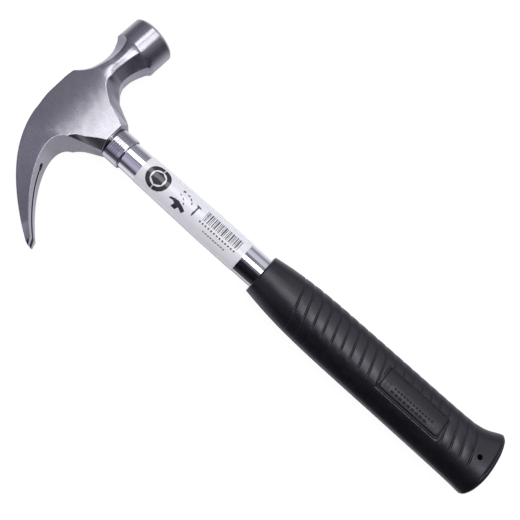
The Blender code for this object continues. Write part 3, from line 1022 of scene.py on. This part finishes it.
def panel_surface(x, y, height):
    """A point above the sunk rubber under the panel, which follows the grip's curve."""
    half, thick = grip_halves(x, y)
    z = thick * math.sqrt(1.0 - (y / half) ** 2) - PANEL_SINK
    return Vector((x, y, z + height))


def rounded_outline(inset):
    """Points round an oblong with round corners, this far in from the panel's outline."""
    half_x, half_y = PANEL_HALF[0] - inset, PANEL_HALF[1] - inset
    corner = min(max(0.02, PANEL_CORNER - inset), half_y, half_x)
    points = []
    for quarter, (sx, sy) in enumerate(((1, 1), (-1, 1), (-1, -1), (1, -1))):
        for step in range(7):
            turn = math.radians(90.0 * quarter + 15.0 * step)
            x = sx * (half_x - corner) + corner * math.cos(turn)
            y = sy * (half_y - corner) + corner * math.sin(turn)
            points.append((x, y))
    ring = []
    for i, start in enumerate(points):
        end = points[(i + 1) % len(points)]
        quarter, step = divmod(i, 7)
        parts = PANEL_PARTS[quarter % 2] if step == 6 else 1
        for k in range(parts):
            ring.append(tuple(a + (b - a) * k / parts for a, b in zip(start, end)))
    return [(x + PANEL_CENTRE[0], y + PANEL_CENTRE[1]) for x, y in ring]


# Across the panel's edge: how far in from its outline, and how high above the sunk rubber.
# A flush margin comes first, then a groove, then the face of the panel.
PANEL_LIP = [(0.0, 0.68), (0.08, 0.74), (0.2, 0.76), (0.75, 0.76), (0.9, 0.73), (0.98, 0.62),
             (1.08, 0.32), (1.2, 0.20), (1.5, 0.20), (1.62, 0.32), (1.72, 0.56), (1.82, 0.63), (1.95, 0.65)]
PANEL_FACE = 0.65
PANEL_FACE_INSETS = (2.3, 3.0, 4.0, 5.0, 6.0, 7.0, 7.4)
PANEL_BASE_Z = 11.4
PANEL_PARTS = (26, 12)  # mesh steps along a long side and a short one


def grip_panel(bm):
    rings = [[Vector((x, y, PANEL_BASE_Z)) for x, y in rounded_outline(0.0)]]
    for inset, height in [(0.0, 0.0)] + PANEL_LIP + [(inset, PANEL_FACE) for inset in PANEL_FACE_INSETS]:
        rings.append([panel_surface(x, y, height) for x, y in rounded_outline(inset)])
    loft(bm, rings)


def panel_marks(bm):
    """Plain raised bars in two rows, and an open square: a pattern, with nothing to read."""
    marks = [(205.6 + 2.9 * i, -4.1, 2.1, 1.5) for i in range(9)]
    marks += [(206.4 + 2.2 * i, -1.5, 1.4, 1.2) for i in range(13)]
    marks += [(200.6, y, 3.2, 0.35) for y in (-3.4, -0.3)]
    marks += [(x, -3.05, 0.35, 2.75) for x in (200.6, 203.45)]
    for x, y, length, width in marks:
        rings = []
        for inset, height in ((0.0, PANEL_FACE - 0.4), (0.0, PANEL_FACE + 0.09), (0.06, PANEL_FACE + 0.14)):
            outline = block(x + inset, y + inset, length - 2 * inset, width - 2 * inset)
            rings.append([panel_surface(px, py, height) for px, py in outline])
        loft(bm, rings)


def make_panel(satin_rubber, dull_rubber):
    add_solid("grip_panel", grip_panel, 60, satin_rubber, "black_rubber")
    add_solid("grip_marks", panel_marks, 40, dull_rubber, "black_rubber")


# ---- surroundings

FLOOR_HALF = 6.0
LAMP_DISTANCE = 6.0

VIEW_TARGET = Vector((105.66, 5.67, 0.0))
VIEW_DISTANCE = 400.0
VIEW_TILT = math.radians(13.68)  # away from straight above, towards the claw's side
VIEW_TURN = math.radians(-0.03)
VIEW_ROLL = math.radians(41.83)  # the handle runs down to the right in the picture
LENS = 49.23
SENSOR_WIDTH = 36.0


def add_floor():
    """A pale floor lit from within, so that it stays white under the hammer."""
    material, nodes, shader = new_material("floor_white")
    mottle = nodes.noise((0.02, 0.02, 0.02), detail=2.0)
    nodes.link(nodes.mix(mottle, (0.09, 0.09, 0.09, 1), (0.10, 0.10, 0.10, 1)), shader["Base Color"])
    set_inputs(shader, Roughness=0.9, Specular_IOR_Level=0.0, Emission_Strength=0.95,
               Emission_Color=(1.0, 1.0, 1.0, 1.0))
    bm = bmesh.new()
    bmesh.ops.create_grid(bm, x_segments=8, y_segments=8, size=FLOOR_HALF)
    mesh = bpy.data.meshes.new("floor")
    bm.to_mesh(mesh)
    bm.free()
    mesh.materials.append(material)
    floor = add_object("floor", mesh)
    floor.location = (0, 0, CAD_BOX[0].z - 0.0002)
    floor.visible_glossy = False


def add_softbox(name, low, high, radiance):
    """A softbox far overhead that fills the directions between two (x, y) corners."""
    x, y = (low[0] + high[0]) / 2, (low[1] + high[1]) / 2
    back = Vector((x, y, math.sqrt(1.0 - x * x - y * y)))
    right = (Vector((1, 0, 0)) - back * back.x).normalized()
    over = back.cross(right)
    lamp = bpy.data.lights.new(name, "AREA")
    lamp.shape = "RECTANGLE"
    lamp.size = LAMP_DISTANCE * (high[0] - low[0]) / right.x
    lamp.size_y = LAMP_DISTANCE * (high[1] - low[1]) / over.y
    lamp.energy = radiance * math.pi * lamp.size * lamp.size_y
    thing = add_object(name, lamp)
    turn = Matrix((right, over, back)).transposed().to_4x4()
    thing.matrix_world = Matrix.Translation(ORIGIN + back * LAMP_DISTANCE) @ turn
    thing.visible_camera = False
    return thing


def studio_level(nodes, x, y, z):
    """How bright the studio is in each direction: by height first, then patch by patch."""
    def patch(strength, *bands):
        """The strength where all bands are full; each is a level, or (axis, empty at, full at)."""
        shares = [nodes.ramp(*band) if isinstance(band, tuple) else band for band in bands]
        return nodes.product(strength, *shares)

    height = nodes.stops(z, [(-1.0, 0.17), (-0.955, 0.19), (-0.92, 0.48), (-0.86, 0.64), (-0.75, 0.74),
                             (-0.45, 0.60), (-0.28, 0.42), (-0.15, 0.26), (0.0, 0.12), (0.2, 0.06),
                             (0.45, 0.09), (0.7, 0.15), (0.9, 0.20), (1.0, 0.20)])
    right_half = nodes.ramp(x, -0.14, -0.06)
    left_half = nodes.math("SUBTRACT", 1.0, right_half)
    face_side = patch(0.21, (y, 0.44, 0.64))
    bright_side = patch(0.34, (y, 0.58, 0.64), (z, 0.15, 0.38), right_half)
    lilac = patch(0.22, (y, -0.10, -0.18), (z, 0.30, 0.50), left_half, (x, -0.32, -0.28))
    low_left = patch(0.2, (y, -0.2, -0.8), (z, 0.0, -0.2), left_half)
    tip_side = patch(0.17, (x, -0.14, -0.24), (y, -0.30, -0.65), (z, 0.12, 0.32), (z, 0.90, 0.70))
    neck_side = patch(0.15, (x, -0.38, -0.52), (y, 0.32, 0.45))
    under_tip = patch(0.38, (y, 0.02, 0.25), (z, -0.90, -0.95), (x, 0.32, 0.02))
    level = height
    for extra in (face_side, bright_side, lilac, low_left, tip_side, neck_side, under_tip):
        level = nodes.math("ADD", level, extra)
    butt_side = patch(0.32, (x, 0.45, 0.75), (z, 0.1, -0.1))
    butt_dark = patch(0.55, (x, 0.84, 0.94), (y, 0.35, 0.05))
    face_low = patch(0.42, (x, -0.02, 0.10), (y, 0.25, 0.50), (z, 0.02, -0.08), (z, -0.90, -0.78))
    claw_dark = patch(0.90, (y, -0.36, -0.60), (z, -0.80, -0.55), right_half)
    for shade in (butt_side, butt_dark, face_low, claw_dark):
        level = nodes.product(level, nodes.math("SUBTRACT", 1.0, shade))
    return level


def add_world():
    """A grey studio with a pale floor below, a dark side behind the claw, and white for the camera."""
    world = bpy.data.worlds.new("studio")
    bpy.context.scene.world = world
    world.use_nodes = True
    nodes = Nodes(world.node_tree)
    world.node_tree.nodes.clear()
    split = nodes.add("SeparateXYZ")
    nodes.link(nodes.add("TexCoord").outputs["Generated"], split.inputs[0])
    x, y, z = split.outputs
    level = studio_level(nodes, x, y, z)

    lavender = nodes.product(nodes.ramp(z, -0.30, 0.05), nodes.ramp(y, 0.45, 0.20))
    tint = nodes.mix(lavender, (1.0, 1.0, 1.12, 1), (1.0, 0.96, 1.26, 1))
    studio = nodes.add("Background")
    nodes.link(tint, studio.inputs["Color"])
    nodes.link(level, studio.inputs["Strength"])
    seen = nodes.add("Background")
    set_inputs(seen.inputs, Color=(1.0, 1.0, 1.0, 1.0), Strength=1.05)
    pick = nodes.add("MixShader")
    nodes.link(nodes.add("LightPath").outputs["Is Camera Ray"], pick.inputs[0])
    nodes.link(studio.outputs[0], pick.inputs[1])
    nodes.link(seen.outputs[0], pick.inputs[2])
    nodes.link(pick.outputs[0], nodes.add("OutputWorld").inputs["Surface"])


def add_camera():
    back = Vector((math.sin(VIEW_TURN),
                   -math.sin(VIEW_TILT) * math.cos(VIEW_TURN),
                   math.cos(VIEW_TILT) * math.cos(VIEW_TURN)))
    level = (Vector((1, 0, 0)) - back * back.x).normalized()
    other = back.cross(level)
    right = level * math.cos(VIEW_ROLL) + other * math.sin(VIEW_ROLL)
    up = other * math.cos(VIEW_ROLL) - level * math.sin(VIEW_ROLL)
    data = bpy.data.cameras.new("camera")
    data.lens = LENS
    data.sensor_width = SENSOR_WIDTH
    data.clip_start = 0.01
    data.clip_end = 100.0
    camera = add_object("camera", data)
    place_at = to_world(VIEW_TARGET + back * VIEW_DISTANCE)
    camera.matrix_world = Matrix.Translation(place_at) @ Matrix((right, up, back)).transposed().to_4x4()
    bpy.context.scene.camera = camera


def paint_node(name, material):
    """Give a CAD node that stays in view its finished material."""
    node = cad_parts[name]
    node.data.materials.clear()
    node.data.materials.append(material)


def main():
    steel = forged_steel()
    chrome = chrome_plate("chrome_plate", (0.77, 0.77, 0.80), (0.83, 0.83, 0.86), 0.06)
    dull_chrome = chrome_plate("dull_chrome", (0.56, 0.56, 0.60), (0.66, 0.66, 0.70), 0.10)
    rubber = black_rubber("black_rubber", 0.27, 0.75)
    satin_rubber = black_rubber("satin_rubber", 0.25, 0.50)
    dull_rubber = black_rubber("dull_rubber", 0.60, 0.25)
    make_head(steel)
    make_tube(chrome)
    make_collar(dull_chrome)
    make_label(printed_film())
    make_print(label_ink("ink_black", (0.005, 0.005, 0.006), (0.012, 0.012, 0.014)),
               label_ink("ink_grey", (0.03, 0.03, 0.035), (0.09, 0.09, 0.10)))
    make_grip(rubber)
    make_panel(satin_rubber, dull_rubber)
    paint_node("eye_plug", hardwood())
    paint_node("eye_wedge", steel)
    paint_node("tube_end_plug", black_plastic())
    add_floor()
    add_softbox("softbox_main", (-0.05, -0.22), (0.42, 0.24), 3.0)
    add_softbox("softbox_neck", (0.04, 0.25), (0.42, 0.60), 0.9)
    add_softbox("softbox_head", (-0.34, 0.02), (-0.08, 0.57), 2.2)
    fill = add_softbox("softbox_fill", (-0.45, -0.45), (0.45, 0.45), 1.6)
    fill.visible_glossy = False
    add_world()
    add_camera()
    bpy.context.scene.view_settings.view_transform = "Standard"


main()
